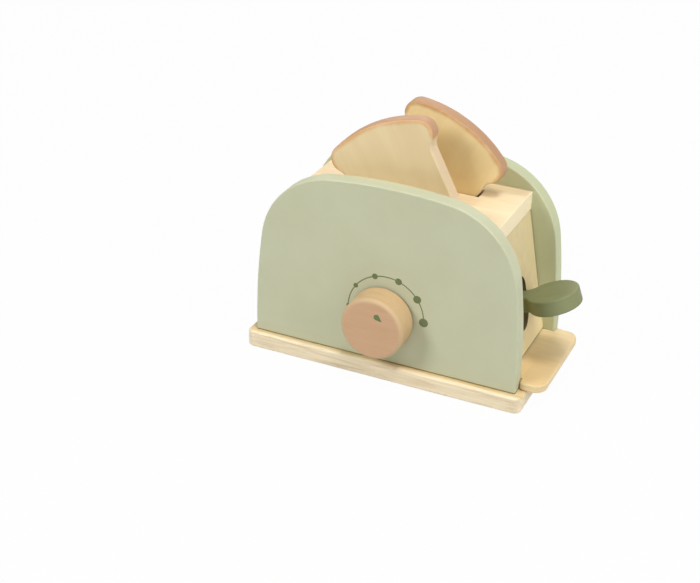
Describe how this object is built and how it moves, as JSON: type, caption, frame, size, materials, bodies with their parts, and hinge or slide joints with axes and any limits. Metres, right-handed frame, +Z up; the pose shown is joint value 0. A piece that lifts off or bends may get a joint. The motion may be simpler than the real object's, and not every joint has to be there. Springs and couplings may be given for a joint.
{
  "type": "toy toaster",
  "caption": "Wooden toy toaster with arched painted panels, a rocking lever, a turning knob, a pull-out crumb tray and wooden bread slices in its slots.",
  "frame": {"origin": "centre of the base board's underside", "axes": "+X along the length to the lever end, +Y to the back panel, +Z up"},
  "size_m": [0.2529, 0.1346, 0.2031],
  "materials": {
    "plywood": "sanded plywood, clear matt lacquer",
    "painted_sage": "matt sage green paint on wood",
    "light_wood": "sanded light pine, clear matt lacquer",
    "dowel_wood": "plain turned dowel",
    "screw_steel": "zinc plated",
    "painted_olive": "matt dark olive green paint on wood",
    "beech": "turned beech, clear matt lacquer",
    "felt": "wool felt",
    "tray_wood": "sanded board, clear matt lacquer",
    "bread_wood": "light wood with a brown painted crust"
  },
  "bodies": {
    "casing": {"base_board": "light_wood", "front_panel": "painted_sage", "back_panel": "painted_sage", "top_board": "light_wood", "left_end_board": "light_wood", "right_end_board": "light_wood", "joint_dowels": "dowel_wood", "base_screws": "screw_steel", "pivot_dowel": "dowel_wood", "stop_dowel": "dowel_wood", "front_sleeve": "dowel_wood", "back_sleeve": "dowel_wood", "knob_washer": "felt"},
    "lever": {"lever_paddle": "painted_olive", "lever_rocker": "plywood", "paddle_screws": "screw_steel", "lift_plate": "plywood", "lift_screws": "screw_steel"},
    "knob": {"knob": "beech", "knob_axle": "dowel_wood", "knob_retainer": "plywood", "retainer_screw": "screw_steel"},
    "crumb_tray": {"crumb_tray": "tray_wood"},
    "front_bread": {"front_bread": "bread_wood"},
    "back_bread": {"back_bread": "bread_wood"}
  },
  "joints": [
    {"name": "lever_press", "type": "hinge", "parent": "casing", "child": "lever", "pos_m": [0.058, 0, 0.047], "axis": [0, 1, 0], "range_deg": [0, 22]},
    {"name": "knob_turn", "type": "hinge", "parent": "casing", "child": "knob", "pos_m": [0.0003, -0.0527, 0.0521], "axis": [0, -1, 0], "continuous": true},
    {"name": "tray_pull", "type": "slide", "parent": "casing", "child": "crumb_tray", "axis": [1, 0, 0], "range_m": [0, 0.2]},
    {"name": "front_bread_lift", "type": "slide", "parent": "casing", "child": "front_bread", "axis": [-0.4679, 0, 0.8838], "range_m": [0, 0.11]},
    {"name": "back_bread_lift", "type": "slide", "parent": "casing", "child": "back_bread", "axis": [0.4939, 0, 0.8695], "range_m": [0, 0.11]}
  ]
}
